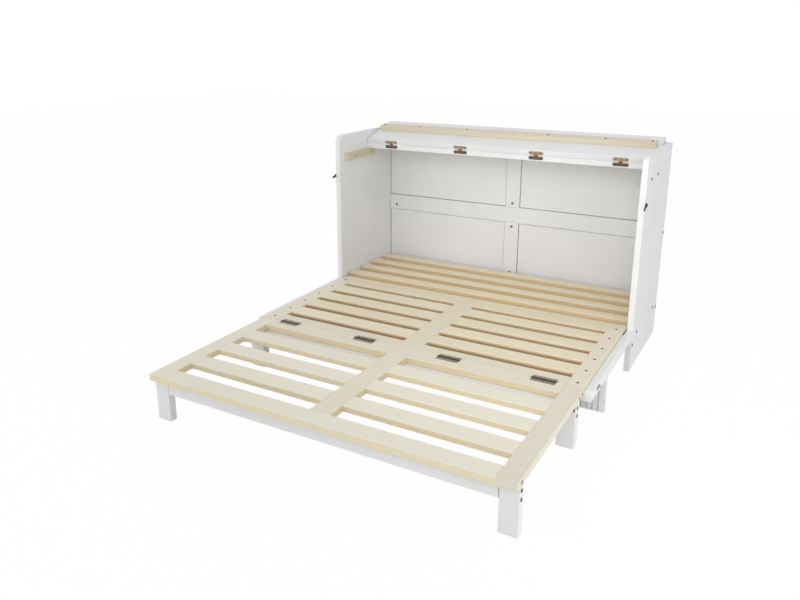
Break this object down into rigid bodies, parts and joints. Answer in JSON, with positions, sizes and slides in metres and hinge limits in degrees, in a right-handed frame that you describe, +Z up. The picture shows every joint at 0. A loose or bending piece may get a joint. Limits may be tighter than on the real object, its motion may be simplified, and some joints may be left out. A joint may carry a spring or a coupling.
{
  "type": "chest wall bed",
  "caption": "White cabinet bed shown open: slatted pine deck in two hinged sections on folding legs, a drawer that carries the deck, and a folding top flap.",
  "frame": {"origin": "on the floor under the middle of the open bed", "axes": "+X across to the right seen from the foot, +Y from the foot to the wall, +Z up"},
  "size_m": [1.662, 2.036, 1.044],
  "materials": {
    "white_paint": "satin white paint",
    "pine": "clear matt, fine grain",
    "drawer_ply": "bare plywood",
    "bronze": "dark bronze",
    "antique_brass": "aged",
    "black_bolt": "black oxide",
    "steel": "zinc plated",
    "pale_screw": "pale zinc",
    "dark_steel": "dark plated",
    "glide_plastic": "moulded"
  },
  "bodies": {
    "cabinet": {"left_side_panel": "white_paint", "right_side_panel": "white_paint", "back_panels": "white_paint", "back_bottom_rail": "white_paint", "back_middle_rail": "white_paint", "back_top_rail": "white_paint", "back_stiles": "white_paint", "fixed_top": "white_paint", "fixed_hinge_leaves": "bronze", "lid_cleats": "pine", "slat_cleats": "pine", "cabinet_slats": "pine", "front_base_rail": "pine", "cabinet_fasteners": "black_bolt", "top_screws": "pale_screw", "fixed_pivot_plates": "dark_steel", "pivot_pins": "steel"},
    "lid": {"lid_flap": "white_paint", "lid_batten": "pine", "batten_screws": "black_bolt", "lid_hinge_leaves": "antique_brass", "lid_hinge_pins": "steel"},
    "middle_section": {"left_middle_rail": "pine", "right_middle_rail": "pine", "middle_centre_rail": "pine", "middle_front_board": "pine", "middle_rear_board": "pine", "middle_slats": "pine", "middle_fasteners": "steel", "door_panel": "white_paint", "door_stiles": "white_paint", "door_rails": "white_paint", "keeper_pins": "dark_steel", "moving_pivot_plates": "dark_steel", "rear_hinge_leaves": "bronze", "deck_hinge_pins": "steel"},
    "front_section": {"left_front_rail": "pine", "right_front_rail": "pine", "front_centre_rail": "pine", "foot_board": "pine", "hinge_board": "pine", "front_slats": "pine", "front_rail_bolts": "black_bolt", "front_hinge_leaves": "bronze", "leg_hinge_plates": "bronze"},
    "front_leg_frame": {"front_legs": "white_paint", "front_apron": "white_paint", "front_leg_bolts": "black_bolt", "front_leg_leaves": "bronze"},
    "middle_leg_frame": {"middle_legs": "white_paint", "middle_apron": "white_paint", "middle_leg_bolts": "black_bolt", "middle_leg_leaves": "bronze"},
    "drawer": {"drawer_front": "white_paint", "drawer_sides": "drawer_ply", "drawer_back": "drawer_ply", "drawer_floor": "drawer_ply", "drawer_glides": "glide_plastic"},
    "left_latch": {"left_latch_hook": "dark_steel"},
    "right_latch": {"right_latch_hook": "dark_steel"}
  },
  "joints": [
    {"name": "middle_fold", "type": "hinge", "parent": "cabinet", "child": "middle_section", "pos_m": [0, 0.428, 0.2045], "axis": [-1, 0, 0], "range_deg": [0, 90]},
    {"name": "front_fold", "type": "hinge", "parent": "middle_section", "child": "front_section", "pos_m": [0, -0.28, 0.2145], "axis": [-1, 0, 0], "range_deg": [0, 180]},
    {"name": "front_leg_fold", "type": "hinge", "parent": "front_section", "child": "front_leg_frame", "pos_m": [0, -0.9545, 0.1845], "axis": [1, 0, 0], "range_deg": [0, 90]},
    {"name": "middle_leg_fold", "type": "hinge", "parent": "front_section", "child": "middle_leg_frame", "pos_m": [0, -0.3805, 0.1845], "axis": [-1, 0, 0], "range_deg": [0, 90]},
    {"name": "lid_fold", "type": "hinge", "parent": "cabinet", "child": "lid", "pos_m": [0, 0.726, 0.944], "axis": [1, 0, 0], "range_deg": [0, 164.9]},
    {"name": "drawer_slide", "type": "slide", "parent": "cabinet", "child": "drawer", "axis": [0, 1, 0], "range_m": [0, 0.446]},
    {"name": "left_latch_turn", "type": "hinge", "parent": "cabinet", "child": "left_latch", "pos_m": [-0.824, 0.449, 0.8035], "axis": [-1, 0, 0], "range_deg": [-70, 45]},
    {"name": "right_latch_turn", "type": "hinge", "parent": "cabinet", "child": "right_latch", "pos_m": [0.824, 0.449, 0.8035], "axis": [-1, 0, 0], "range_deg": [-70, 45]}
  ],
  "couplings": [
    {"joint": "front_leg_fold", "follows": "front_fold", "ratio": 0.5},
    {"joint": "middle_leg_fold", "follows": "front_fold", "ratio": 0.5}
  ]
}
